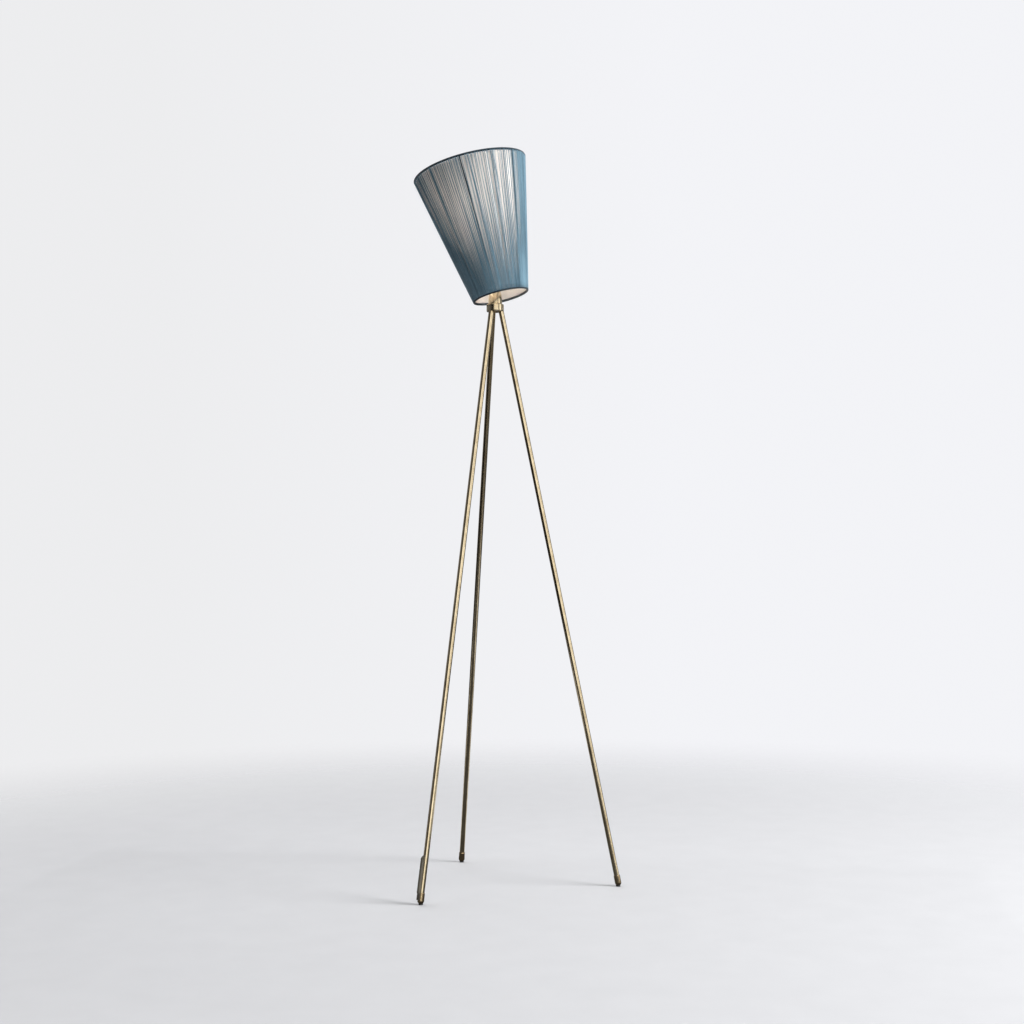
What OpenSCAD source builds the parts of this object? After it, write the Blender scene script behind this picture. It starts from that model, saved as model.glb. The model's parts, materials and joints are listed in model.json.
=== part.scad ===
// Tripod floor lamp: three slim brass legs, a small hub, and a leaning conical thread shade.
// Millimetres, +Z up. The origin is on the floor, straight below the hub.
// One leg points along +X, and the shade leans towards -X.

/* [Tripod] */
// Radius of the circle on the floor where the leg axes end
foot_circle_r = 223; // [170:1:280]
// Height of the hub's underside above the floor
hub_z = 1079; // [800:1:1300]
// Radius at which the leg axes meet the hub's underside
leg_top_r = 11.5; // [11:0.1:11.8]
// Outer diameter of a leg tube
leg_d = 10; // [9.6:0.1:10.2]
// Wall of a leg tube
leg_wall = 1; // [0.8:0.1:1.2]
// How far a leg nipple reaches down inside its leg
nipple_in_leg = 25; // [12:1:60]

/* [Feet] */
// Outer diameter of a foot cap
foot_cap_d = 11.8; // [11.8:0.1:16]
// Length of the straight part of a foot cap
foot_cap_len = 14; // [10:1:40]
// Height of the cap's round end above the floor
foot_lift = 1; // [0.5:0.1:2]
// Diameter of the rubber pad under a foot
foot_pad_d = 8; // [5:0.1:9]
// Thickness of the rubber pad
foot_pad_t = 3; // [2:0.1:4]

/* [Cord outlet] */
// Inner diameter of the outlet sleeve
sleeve_bore_d = 5.4; // [4.6:0.1:6]
// Wall of the outlet sleeve
sleeve_wall = 0.6; // [0.5:0.1:1.2]
// Height of the sleeve's top, measured along the leg
sleeve_top = 86; // [70:1:140]
// Distance from the floor to the sleeve's mouth, measured along the leg
sleeve_mouth = 8; // [6:1:14]
// Diameter of the sheathed lead inside the leg
lead_d = 5; // [4:0.1:5.2]

/* [Hub and neck] */
// Diameter of the hub
hub_d = 33; // [33:0.5:44]
// Height of the hub
hub_h = 13.5; // [11:0.5:22]
// Outer diameter of the bell-shaped neck cover at its base
bell_d = 26.4; // [25:0.2:30]
// Outer diameter of the neck cover at its top
bell_top_d = 16.4; // [16:0.2:22]
// Height of the neck cover
bell_h = 27.5; // [20:0.5:50]
// Wall of the neck cover
bell_wall = 1.6; // [1:0.1:2]

/* [Knuckle] */
// Lean of the shade away from upright, in degrees
lean = 13.3; // [0:0.1:25]
// Height of the tilt pivot above the neck cover
pivot_rise = 35; // [33:0.5:60]
// Outer radius of the fork ears and the tongue round the pivot
knuckle_r = 8; // [7:0.5:9]
// Thickness of the tongue
tongue_t = 8.4; // [7:0.1:10]
// Thickness of each fork ear
ear_t = 4; // [3:0.1:6]
// Diameter of the pivot screw
pivot_d = 6; // [4:0.1:6.4]

/* [Lampholder and bulb] */
// Outer diameter of the lampholder's threaded shell
holder_d = 40; // [38:0.5:44]
// Height of the lampholder's shell above its cap
holder_h = 43; // [40:1:60]
// Largest diameter of the bulb
bulb_d = 60; // [45:1:70]
// Length of the bulb's glass above the lampholder's core
bulb_len = 106; // [98:1:120]

/* [Shade] */
// Diameter of the bottom wire ring, between wire centres
shade_bottom_d = 104; // [90:1:160]
// Diameter of the top wire ring, between wire centres
shade_top_d = 215; // [170:1:320]
// Height between the two wire rings along the shade's axis
shade_h = 251; // [220:1:340]
// How far the bottom ring hangs below the tilt pivot
shade_drop = 47.5; // [40:0.5:60]
// Diameter of the ring wire
ring_wire_d = 3.2; // [2.4:0.1:4]
// Diameter of the strut wire
strut_wire_d = 2.4; // [1.6:0.1:2.4]
// Number of struts, a multiple of 3
strut_count = 6; // [3:3:12]
// Thickness of the cloth piping on each ring
piping_t = 0.65; // [0.4:0.05:1]
// Thickness of the white liner
liner_t = 0.4; // [0.3:0.1:1]
// Thickness of the layer of wound thread
thread_t = 0.8; // [0.6:0.1:1.5]

/* [Hidden] */
$fn = 72;

// Clearances
gap = 0.05;          // radial play of a part that screws, slides or turns on another
face_gap = 0.1;      // play between faces that move over each other
air = 0.3;           // distance between parts that only pass each other

// Legs
leg_r = leg_d / 2;
leg_inner_r = leg_r - leg_wall;
splay = atan((foot_circle_r - leg_top_r) / hub_z);
leg_len = hub_z / cos(splay);
leg_az = [0, 120, 240];
cap_r = foot_cap_d / 2;
cap_centre = (cap_r + foot_lift) / cos(splay);
leg_start = cap_centre + 2;
pad_x = foot_circle_r - cap_centre * sin(splay);
nipple_r = leg_inner_r - gap;
nipple_bore_r = lead_d / 2 + 0.2;
chamber_depth = 4.5;
chamber_floor = hub_z + hub_h - chamber_depth;
nipple_in_hub = (hub_h - chamber_depth) / cos(splay) - 0.5;

// Cord outlet
sleeve_bore_r = sleeve_bore_d / 2;
sleeve_r = sleeve_bore_r + sleeve_wall;
sleeve_x = leg_r + gap + sleeve_r;
mouth_notch = 12;
port_top = sleeve_top - 6;
port_drop = 16;
port_r = lead_d / 2 + 0.1;
bore_top = port_top - port_drop + 6;

// Hub and neck
hub_r = hub_d / 2;
bell_r = bell_d / 2;
bell_top_r = bell_top_d / 2;
bell_z = hub_z + hub_h;
bell_plate = 2;
groove_h = 0.9;
groove_depth = 1.1;
chamber_r = bell_r - bell_wall;
stem_r = 5;          // M10 x 1 threaded tube, as lampholders take
stem_bore_r = 3.4;
stem_start = hub_z + 2;
locknut_r = 6.8;
locknut_h = 3;
washer_t = 1;
fork_z = bell_z + bell_h + washer_t + face_gap;
fork_base_r = 10;
fork_base_h = 10;
swivel_nut_r = 7.4;
swivel_nut_h = 3;
stem_end = fork_z + fork_base_h + face_gap + swivel_nut_h + 1.5;
side_hole_z = chamber_floor + locknut_h + 4;
wire_r = 0.9;
wire_pair = 1;       // half the distance between the two conductors

// Knuckle
pivot_z = bell_z + bell_h + pivot_rise;
pivot_r = pivot_d / 2;
tongue_half = tongue_t / 2;
friction_t = 0.65;
ear_inner = tongue_half + face_gap + friction_t + gap;
ear_outer = ear_inner + ear_t;
head_screw_r = 5.5;
head_screw_h = 3;
thumb_nut_r = 6.4;
thumb_nut_h = 5;
tongue_disc_s = knuckle_r + 5;
tongue_disc_h = 10;
stem_depth = 8;

// Lampholder, in heights above the pivot along the shade's axis
cap_s = tongue_disc_s + tongue_disc_h;
cap_cone_h = 10;
cap_h = 18;
holder_r = holder_d / 2;
holder_wall = 1.6;
body_s = cap_s + cap_h;
core_s = body_s - 3;
core_h = 12;
core_r = holder_r - holder_wall - gap;
shell_s = core_s + core_h;
shell_h = 24;
shell_wall = 0.4;
contact_t = 1;
terminal_x = 9.5;
terminal_r = 1.7;
shade_ring_h = 5;
shade_ring_r = 26;
fitter_s = body_s + 22;
fitter_t = 2.6;

// Bulb
tip_s = shell_s + contact_t;
bulb_cap_r = 13.2;
shell_r = bulb_cap_r + gap + shell_wall;
bulb_cap_s = tip_s + 3;
bulb_cap_h = 21;
glass_s = bulb_cap_s + bulb_cap_h;
glass_wall = 0.8;
bulb_r = bulb_d / 2;
bulb_top = core_s + core_h + bulb_len;
globe_s = bulb_top - bulb_r;

// Shade
ring_s = [-shade_drop, shade_h - shade_drop];
ring_r = [shade_bottom_d / 2, shade_top_d / 2];
wire_ring_r = ring_wire_d / 2;
strut_r = strut_wire_d / 2;
piping_r = wire_ring_r + gap + piping_t;
cone = atan((ring_r[1] - ring_r[0]) / shade_h);
slant = shade_h / cos(cone);
skin_clear = strut_r + 0.1;
skin_end = piping_r + 0.1;
arm_r = 1.6;
arm_az = [for (i = [0:2]) 90 + 120 * i];
strut_az = [for (i = [0:strut_count - 1]) 90 + 360 / strut_count * i];

function ring_at(s) = ring_r[0] + (s - ring_s[0]) * tan(cone);

// ---------- helpers ----------

// Puts its children in a leg's frame: z runs up the leg's axis from the floor, x points outwards.
module on_leg(az) {
    rotate([0, 0, az])
        translate([foot_circle_r, 0, 0])
            rotate([0, -splay, 0])
                children();
}

// Puts its children in the shade's frame: the pivot is the origin and z is the shade's axis.
module head() {
    translate([0, 0, pivot_z])
        rotate([0, -lean, 0])
            children();
}

// Turned part from z0 to z0 + h, with a bore.
module ring(r, bore, z0, h) {
    translate([0, 0, z0])
        difference() {
            cylinder(r = r, h = h);
            translate([0, 0, -1])
                cylinder(r = bore, h = h + 2);
        }
}

// Solid of revolution from (radius, height) points.
module turned(points) {
    rotate_extrude()
        polygon(points);
}

// Quarter-round corner points from angle a0 to a1 about centre c.
function corner(c, r, a0, a1, n = 6) =
    [for (i = [0:n]) c + r * [cos(a0 + (a1 - a0) * i / n), sin(a0 + (a1 - a0) * i / n)]];

// Ridged band of a screw thread, drawn as rings: points run up the outside.
function ridges(r, depth, z0, pitch, count) =
    [for (i = [0:count - 1], k = [0, 1]) [r - (k == 0 ? depth : 0), z0 + pitch * (i + k / 2)]];

// Round conductor through the given points.
module wire(points) {
    for (i = [0:len(points) - 2]) {
        step = points[i + 1] - points[i];
        translate(points[i])
            rotate([0, acos(step[2] / norm(step)), atan2(step[1], step[0])])
                cylinder(r = wire_r, h = norm(step));
    }
    for (i = [1:len(points) - 2])
        translate(points[i])
            sphere(r = wire_r);
}

// ---------- legs and feet ----------

module leg(az, port = false) {
    color("goldenrod")
        difference() {
            on_leg(az)
                difference() {
                    translate([0, 0, leg_start])
                        cylinder(r = leg_r, h = leg_len - leg_start + leg_d);
                    cylinder(r = leg_inner_r, h = leg_len + 2 * leg_d);
                    if (port)
                        cord_port();
                }
            translate([0, 0, hub_z])
                cylinder(r = hub_d, h = 3 * leg_d);
        }
}

module leg_nipple(az) {
    color("khaki")
        on_leg(az)
            ring(nipple_r, nipple_bore_r, leg_len - nipple_in_leg, nipple_in_leg + nipple_in_hub);
}

module foot_cap(az, groove = false) {
    color("darkgoldenrod")
        difference() {
            on_leg(az)
                difference() {
                    union() {
                        translate([0, 0, cap_centre])
                            sphere(r = cap_r);
                        translate([0, 0, cap_centre])
                            cylinder(r = cap_r, h = foot_cap_len - 1);
                        translate([0, 0, cap_centre + foot_cap_len - 1])
                            cylinder(r1 = cap_r, r2 = leg_r + gap + 0.3, h = 1);
                    }
                    translate([0, 0, leg_start])
                        cylinder(r = leg_r + gap, h = foot_cap_len + 10);
                    if (groove)
                        translate([sleeve_x, 0, 0])
                            cylinder(r = sleeve_r + gap, h = 2 * foot_cap_len);
                }
            pad(az, gap);
        }
}

// The rubber pad, or with grow its pocket.
module pad(az, grow = 0) {
    rotate([0, 0, az])
        translate([pad_x, 0, -10 * grow])
            cylinder(r = foot_pad_d / 2 + grow, h = foot_pad_t + 11 * grow);
}

module foot_pad(az) {
    color("dimgray")
        pad(az);
}

// ---------- cord outlet on the front leg ----------

// Slanted way from inside the leg into the sleeve.
module cord_port() {
    translate([0, 0, port_top])
        rotate([0, 180 - atan(sleeve_x / port_drop), 0])
            cylinder(r = port_r, h = norm([sleeve_x, port_drop]));
}

module cord_sleeve() {
    color("gray")
        on_leg(leg_az[2])
            difference() {
                translate([sleeve_x, 0, sleeve_mouth])
                    cylinder(r = sleeve_r, h = sleeve_top - sleeve_mouth);
                translate([sleeve_x, 0, 0])
                    cylinder(r = sleeve_bore_r, h = bore_top);
                cord_port();
                // the mouth is open outwards, so that a cord can leave along the floor
                translate([sleeve_x, -sleeve_r, 0])
                    cube([2 * sleeve_r, 2 * sleeve_r, sleeve_mouth + mouth_notch]);
                // the top slopes down and away from the leg
                translate([sleeve_x - sleeve_r, -sleeve_r - 1, sleeve_top])
                    rotate([0, 50, 0])
                        cube([6 * sleeve_r, 2 * sleeve_r + 2, 4 * sleeve_r]);
            }
}

module leg_lead() {
    color("whitesmoke")
        on_leg(leg_az[2])
            translate([0, 0, port_top + 2 * port_r])
                cylinder(r = lead_d / 2, h = leg_len + nipple_in_hub + 1 - port_top - 2 * port_r);
}

// ---------- hub and neck ----------

module leg_hub() {
    edge = 1.6;
    lip = 0.8;
    color("goldenrod")
        difference() {
            translate([0, 0, hub_z])
                turned(concat(
                    [[0, 0]],
                    corner([hub_r - edge, edge], edge, -90, 0),
                    corner([hub_r - lip, hub_h - lip], lip, 0, 90),
                    [[0, hub_h]]
                ));
            translate([0, 0, chamber_floor])
                cylinder(r = chamber_r, h = hub_h);
            translate([0, 0, hub_z - 1])
                cylinder(r = stem_r + gap, h = hub_h);
            for (az = leg_az)
                on_leg(az)
                    translate([0, 0, leg_len - leg_d])
                        cylinder(r = nipple_r + gap, h = leg_d + nipple_in_hub + 1.5);
        }
}

module hub_locknut() {
    color("khaki")
        ring(locknut_r, stem_r + gap, chamber_floor, locknut_h);
}

// Threaded tube that ties the hub, the bell and the swivelling fork together.
module neck_nipple() {
    color("khaki")
        difference() {
            ring(stem_r, stem_bore_r, stem_start, stem_end - stem_start);
            // the leads enter through this side hole, which faces the front leg
            rotate([0, 0, leg_az[2]])
                translate([0, 0, side_hole_z])
                    rotate([0, 90, 0])
                        cylinder(r = 2.4, h = 2 * stem_r);
        }
}

function bell_radius(z, base, top) = top + (base - top) * sqrt(max(0, 1 - pow(z / bell_h, 2)));

module neck_bell() {
    steps = 20;
    inner_top = bell_h - bell_plate;
    groove_r = bell_r - groove_depth;
    color("goldenrod")
        translate([0, 0, bell_z])
            difference() {
                turned(concat(
                    [[0, 0], [groove_r, 0], [groove_r, groove_h]],
                    [for (i = [0:steps]) let (z = groove_h + (bell_h - groove_h) * i / steps)
                        [bell_radius(z, bell_r, bell_top_r), z]],
                    [[0, bell_h]]
                ));
                translate([0, 0, -0.01])
                    turned(concat(
                        [[0, 0]],
                        [for (i = [0:steps])
                            [bell_radius(inner_top * i / steps, bell_r, bell_top_r) - bell_wall, inner_top * i / steps]],
                        [[0, inner_top]]
                    ));
                cylinder(r = stem_r + gap, h = bell_h + 1);
            }
}

module swivel_washer() {
    color("dimgray")
        ring(bell_top_r - 0.2, stem_r + gap, bell_z + bell_h, washer_t);
}

module swivel_nut() {
    color("khaki")
        translate([0, 0, fork_z + fork_base_h + face_gap])
            difference() {
                cylinder(r = swivel_nut_r, h = swivel_nut_h, $fn = 6);
                translate([0, 0, -1])
                    cylinder(r = stem_r + gap, h = swivel_nut_h + 2);
            }
}

// Two insulated conductors from the lead's end in the hub's chamber up to the knuckle.
module neck_wires() {
    lead_end_x = leg_top_r - (hub_h - chamber_depth) * tan(splay) - 0.8;
    color("sienna")
        rotate([0, 0, leg_az[2]])
            for (side = [-1, 1])
                wire([
                    [lead_end_x, side * wire_pair, chamber_floor + 1.1],
                    [lead_end_x, side * wire_pair, side_hole_z],
                    [0, side * wire_pair, side_hole_z],
                    [0, side * wire_pair, stem_end + 2]
                ]);
}

// ---------- knuckle ----------

module knuckle_fork() {
    nut_room_r = swivel_nut_r + air;
    nut_room_h = swivel_nut_h + face_gap + 2;
    color("darkgoldenrod")
        difference() {
            union() {
                translate([0, 0, fork_z])
                    cylinder(r = fork_base_r, h = fork_base_h);
                for (side = [-1, 1])
                    translate([0, side * (ear_inner + ear_t / 2), 0]) {
                        translate([0, 0, pivot_z])
                            rotate([90, 0, 0])
                                cylinder(r = knuckle_r, h = ear_t, center = true);
                        translate([-knuckle_r, -ear_t / 2, fork_z + fork_base_h - 1])
                            cube([2 * knuckle_r, ear_t, pivot_z - fork_z - fork_base_h + 1]);
                    }
            }
            translate([0, 0, fork_z - 1])
                cylinder(r = stem_r + gap, h = fork_base_h + 2);
            translate([0, 0, fork_z + fork_base_h])
                cylinder(r = nut_room_r, h = nut_room_h);
            translate([0, 0, pivot_z])
                rotate([90, 0, 0])
                    cylinder(r = pivot_r + gap, h = 4 * ear_outer, center = true);
        }
}

module pivot_screw() {
    slot_w = 1.2;
    color("khaki")
        translate([0, 0, pivot_z])
            rotate([90, 0, 0])
                difference() {
                    union() {
                        translate([0, 0, -ear_outer - thumb_nut_h - 1])
                            cylinder(r = pivot_r, h = 2 * ear_outer + thumb_nut_h + 2);
                        translate([0, 0, ear_outer])
                            cylinder(r = head_screw_r, h = head_screw_h);
                    }
                    translate([-head_screw_r - 1, -slot_w / 2, ear_outer + head_screw_h - 1.2])
                        cube([2 * head_screw_r + 2, slot_w, 2]);
                }
}

module pivot_nut() {
    grips = 16;
    color("goldenrod")
        translate([0, ear_outer, pivot_z])
            rotate([-90, 0, 0])
                difference() {
                    cylinder(r = thumb_nut_r, h = thumb_nut_h);
                    translate([0, 0, -1])
                        cylinder(r = pivot_r + gap, h = thumb_nut_h + 2);
                    for (i = [0:grips - 1])
                        rotate([0, 0, 360 / grips * i])
                            translate([thumb_nut_r + 0.2, 0, 1])
                                cylinder(r = 0.6, h = thumb_nut_h);
                }
}

module friction_washers() {
    color("dimgray")
        for (side = [-1, 1])
            translate([0, side * (ear_inner - friction_t / 2), pivot_z])
                rotate([90, 0, 0])
                    difference() {
                        cylinder(r = knuckle_r - 1, h = friction_t, center = true);
                        cylinder(r = pivot_r + gap, h = 2 * friction_t, center = true);
                    }
}

module knuckle_tongue() {
    wire_way = 2.2;
    color("darkgoldenrod")
        head()
            difference() {
                union() {
                    rotate([90, 0, 0])
                        cylinder(r = knuckle_r, h = tongue_t, center = true);
                    translate([-knuckle_r, -tongue_half, 0])
                        cube([2 * knuckle_r, tongue_t, tongue_disc_s + 1]);
                    translate([0, 0, tongue_disc_s])
                        cylinder(r = fork_base_r, h = tongue_disc_h);
                }
                rotate([90, 0, 0])
                    cylinder(r = pivot_r + gap, h = 2 * tongue_t, center = true);
                translate([0, 0, cap_s - stem_depth])
                    cylinder(r = stem_r + gap, h = stem_depth + 1);
                // the conductors come in from the side, above the screw
                translate([0, 0, knuckle_r])
                    cylinder(r = wire_way, h = cap_s - knuckle_r);
                translate([0, 0, knuckle_r + 1])
                    rotate([0, 90, 0])
                        cylinder(r = wire_way, h = 2 * knuckle_r);
            }
}

// ---------- lampholder ----------

module holder_nipple() {
    color("khaki")
        head()
            ring(stem_r, stem_bore_r, cap_s - stem_depth + 0.5, stem_depth + holder_wall + 4);
}

module holder_nut() {
    color("khaki")
        head()
            translate([0, 0, cap_s + holder_wall])
                difference() {
                    cylinder(r = swivel_nut_r, h = swivel_nut_h, $fn = 6);
                    translate([0, 0, -1])
                        cylinder(r = stem_r + gap, h = swivel_nut_h + 2);
                }
}

module holder_cap() {
    color("black")
        head()
            difference() {
                turned([
                    [0, cap_s], [fork_base_r + 1, cap_s], [holder_r, cap_s + cap_cone_h],
                    [holder_r, body_s], [0, body_s]
                ]);
                turned([
                    [0, cap_s + holder_wall], [fork_base_r, cap_s + holder_wall],
                    [holder_r - holder_wall, cap_s + cap_cone_h + holder_wall / 2],
                    [holder_r - holder_wall, body_s + 1], [0, body_s + 1]
                ]);
                translate([0, 0, cap_s - 1])
                    cylinder(r = stem_r + gap, h = 5);
            }
}

// Threaded outer shell. The thread is drawn as rings.
module holder_body() {
    pitch = 2.5;
    depth = 0.7;
    thread_s = body_s + 10;
    turns = floor((holder_h - 14) / pitch);
    color("black")
        head()
            difference() {
                turned(concat(
                    [[0, body_s], [holder_r, body_s], [holder_r, thread_s - 1]],
                    ridges(holder_r - gap, depth, thread_s, pitch, turns),
                    [[holder_r - depth, thread_s + pitch * turns], [holder_r - depth, body_s + holder_h],
                     [0, body_s + holder_h]]
                ));
                translate([0, 0, body_s - 1])
                    cylinder(r = holder_r - holder_wall, h = holder_h + 2);
            }
}

module holder_core() {
    color("ivory")
        head()
            difference() {
                union() {
                    translate([0, 0, core_s])
                        cylinder(r = core_r, h = core_h);
                    ring(core_r, shell_r + gap, shell_s - 1, shell_h);
                }
                for (side = [-1, 1]) {
                    // conductor ways and terminal screw holes
                    translate([side * terminal_x, 0, core_s - 1])
                        cylinder(r = wire_r + gap, h = core_h - 3);
                    translate([0, side * terminal_x, core_s - 1])
                        cylinder(r = terminal_r + gap, h = 7);
                }
            }
}

module screw_shell() {
    color("silver")
        head()
            ring(shell_r, shell_r - shell_wall, shell_s, shell_h - 2);
}

module centre_contact() {
    color("gold")
        head()
            translate([-4, -3, shell_s])
                cube([8, 6, contact_t]);
}

module terminal_screws() {
    color("silver")
        head()
            for (side = [-1, 1])
                translate([0, side * terminal_x, core_s - 1.5]) {
                    cylinder(r = terminal_r, h = 7);
                    cylinder(r = 3, h = 1.5);
                }
}

// Two insulated conductors from the knuckle up to the lampholder's terminals.
module holder_wires() {
    turn_s = cap_s + 8;
    color("sienna")
        head()
            for (side = [-1, 1])
                wire([
                    [side * wire_pair, 0, cap_s - stem_depth + 1],
                    [side * wire_pair, 0, turn_s],
                    [side * terminal_x, 0, turn_s],
                    [side * terminal_x, 0, core_s + core_h - 5]
                ]);
}

// ---------- shade ----------

// Notched plastic ring that screws on the lampholder and clamps the spider.
module clamp_ring(z0) {
    notches = 12;
    color("black")
        head()
            difference() {
                ring(shade_ring_r, holder_r + gap, z0, shade_ring_h);
                for (i = [0:notches - 1])
                    rotate([0, 0, 360 / notches * i])
                        translate([shade_ring_r + 1, 0, z0 - 1])
                            cylinder(r = 2, h = shade_ring_h + 2);
            }
}

module shade_spider() {
    hoop_r = shade_ring_r + 1;
    root = 0.7;
    arm_s = fitter_s + fitter_t / 2;
    arm_end = ring_at(arm_s);
    color("whitesmoke")
        head()
            difference() {
                union() {
                    translate([0, 0, fitter_s])
                        cylinder(r = hoop_r, h = fitter_t);
                    for (az = arm_az)
                        rotate([0, 0, az])
                            translate([hoop_r - root, 0, arm_s])
                                rotate([0, 90, 0])
                                    cylinder(r = arm_r, h = arm_end - hoop_r + root);
                }
                translate([0, 0, fitter_s - 1])
                    cylinder(r = holder_r + gap, h = fitter_t + 2);
                // each arm's end is shaped to its strut
                for (az = arm_az)
                    rotate([0, 0, az])
                        translate([arm_end, 0, arm_s])
                            rotate([0, cone, 0])
                                cylinder(r = strut_r + gap, h = 8 * arm_r, center = true);
                for (az = arm_az)
                    rotate([0, 0, az])
                        translate([arm_end + strut_r / 2, -arm_r - 1, arm_s - 4 * arm_r])
                            cube([8 * arm_r, 2 * arm_r + 2, 8 * arm_r]);
            }
}

// A rod or hole that follows strut az, stopping short of both ring centres by the same amount.
module strut_line(az, r, short) {
    rotate([0, 0, az])
        translate([ring_r[0], 0, ring_s[0]])
            rotate([0, cone, 0])
                translate([0, 0, short])
                    cylinder(r = r, h = slant - 2 * short);
}

module shade_struts() {
    color("darkslategray")
        head()
            for (az = strut_az)
                strut_line(az, strut_r, wire_ring_r + gap);
}

module wire_ring(i) {
    color("darkslategray")
        head()
            translate([0, 0, ring_s[i]])
                rotate_extrude()
                    translate([ring_r[i], 0])
                        circle(r = wire_ring_r);
}

// Cloth piping sewn round a wire ring, with an eyelet for each strut.
module piping(i) {
    color("midnightblue")
        head()
            difference() {
                translate([0, 0, ring_s[i]])
                    rotate_extrude()
                        translate([ring_r[i], 0])
                            difference() {
                                circle(r = piping_r);
                                circle(r = wire_ring_r + gap);
                            }
                for (az = strut_az)
                    strut_line(az, strut_r + gap, 0);
            }
}

// Conical skin between the two pipings, from inner to outer distance off the struts' centre line.
module skin(inner, outer) {
    bottom = ring_s[0] + skin_end;
    top = ring_s[1] - skin_end;
    turned([
        [ring_at(bottom) + inner / cos(cone), bottom],
        [ring_at(bottom) + outer / cos(cone), bottom],
        [ring_at(top) + outer / cos(cone), top],
        [ring_at(top) + inner / cos(cone), top]
    ]);
}

module shade_liner() {
    arm_s = fitter_s + fitter_t / 2;
    color("white")
        head()
            difference() {
                skin(-skin_clear - liner_t, -skin_clear);
                for (az = arm_az)
                    rotate([0, 0, az])
                        translate([shade_ring_r, 0, arm_s])
                            rotate([0, 90, 0])
                                cylinder(r = arm_r + air, h = shade_top_d);
            }
}

module shade_threads() {
    color("steelblue")
        head()
            skin(skin_clear, skin_clear + thread_t);
}

// ---------- bulb ----------

module bulb_cap() {
    pitch = 3.6;
    turns = 5;
    top = bulb_cap_s + bulb_cap_h;
    color("silver")
        head()
            difference() {
                turned(concat(
                    [[0, bulb_cap_s], [bulb_cap_r - 4, bulb_cap_s]],
                    ridges(bulb_cap_r, 1, bulb_cap_s + 1, pitch, turns),
                    [[bulb_cap_r, top], [0, top]]
                ));
                translate([0, 0, bulb_cap_s + 1])
                    cylinder(r = bulb_cap_r - 2, h = bulb_cap_h);
                translate([0, 0, bulb_cap_s - 1])
                    cylinder(r = 5, h = 5);
            }
}

module bulb_insulator() {
    color("black")
        head()
            turned([
                [0, tip_s + 1], [4, tip_s + 1], [bulb_cap_r - 4.2, bulb_cap_s - gap], [4.9, bulb_cap_s - gap],
                [4.9, bulb_cap_s + 3], [0, bulb_cap_s + 3]
            ]);
}

module bulb_tip() {
    color("silver")
        head()
            turned([[0, tip_s], [2.5, tip_s], [4, tip_s + 1], [0, tip_s + 1]]);
}

// Pear-shaped outline, grown inwards by wall: a neck that flares into the round globe.
function bulb_outline(wall, n = 14) = let (
    neck_r = bulb_cap_r - 0.4 - wall,
    globe_r = bulb_r - wall,
    flare = -38,
    join = [globe_r * cos(flare), globe_s + globe_r * sin(flare)]
) concat(
    [for (i = [0:n - 1]) let (t = i / n, ease = t * t * (3 - 2 * t))
        [neck_r + (join[0] - neck_r) * (0.75 * ease + 0.25 * t * t), glass_s + (join[1] - glass_s) * t]],
    [for (i = [0:2 * n]) let (a = flare + (90 - flare) * i / (2 * n))
        [max(0, globe_r * cos(a)), globe_s + globe_r * sin(a)]]
);

module bulb_glass() {
    color("white")
        head()
            difference() {
                turned(concat([[0, glass_s]], bulb_outline(0)));
                turned(concat([[0, glass_s - 1], [bulb_cap_r - 0.4 - glass_wall, glass_s - 1]], bulb_outline(glass_wall)));
            }
}

module bulb_stem() {
    color("whitesmoke")
        head()
            turned([
                [0, bulb_cap_s + 6], [bulb_cap_r - 3, bulb_cap_s + 6], [bulb_cap_r - 3, glass_s - 1],
                [4, glass_s + 6], [3, globe_s - 18], [7, globe_s - 18], [7, globe_s - 16], [0, globe_s - 16]
            ]);
}

module bulb_filaments() {
    count = 4;
    color("orange")
        head()
            for (i = [0:count - 1])
                rotate([0, 0, 360 / count * i])
                    translate([5.5, 0, globe_s - 16])
                        cylinder(r = 0.9, h = 32);
}

// ---------- nodes ----------

leg(leg_az[0]);  // leg_right
leg(leg_az[1]);  // leg_rear
leg(leg_az[2], port = true);  // leg_front
leg_nipple(leg_az[0]);  // leg_nipple_right
leg_nipple(leg_az[1]);  // leg_nipple_rear
leg_nipple(leg_az[2]);  // leg_nipple_front
foot_cap(leg_az[0]);  // foot_cap_right
foot_cap(leg_az[1]);  // foot_cap_rear
foot_cap(leg_az[2], groove = true);  // foot_cap_front
foot_pad(leg_az[0]);  // foot_pad_right
foot_pad(leg_az[1]);  // foot_pad_rear
foot_pad(leg_az[2]);  // foot_pad_front
cord_sleeve();
leg_lead();
leg_hub();
hub_locknut();
neck_nipple();
neck_bell();
swivel_washer();
swivel_nut();
neck_wires();
knuckle_fork();
pivot_screw();
pivot_nut();
friction_washers();
knuckle_tongue();
holder_nipple();
holder_nut();
holder_cap();
holder_body();
holder_core();
screw_shell();
centre_contact();
terminal_screws();
holder_wires();
clamp_ring(fitter_s - face_gap - shade_ring_h);  // shade_ring_lower
clamp_ring(fitter_s + fitter_t + face_gap);  // shade_ring_upper
shade_spider();
shade_struts();
wire_ring(1);  // shade_top_ring
wire_ring(0);  // shade_bottom_ring
piping(1);  // top_piping
piping(0);  // bottom_piping
shade_liner();
shade_threads();
bulb_glass();
bulb_cap();
bulb_insulator();
bulb_tip();
bulb_stem();
bulb_filaments();
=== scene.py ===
"""Looks of the tripod floor lamp: dulled brass legs and knuckle, and a leaning shade wound with blue yarn."""

import json
import math
import random

import bmesh
import bpy
from mathutils import Matrix, Vector


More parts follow.
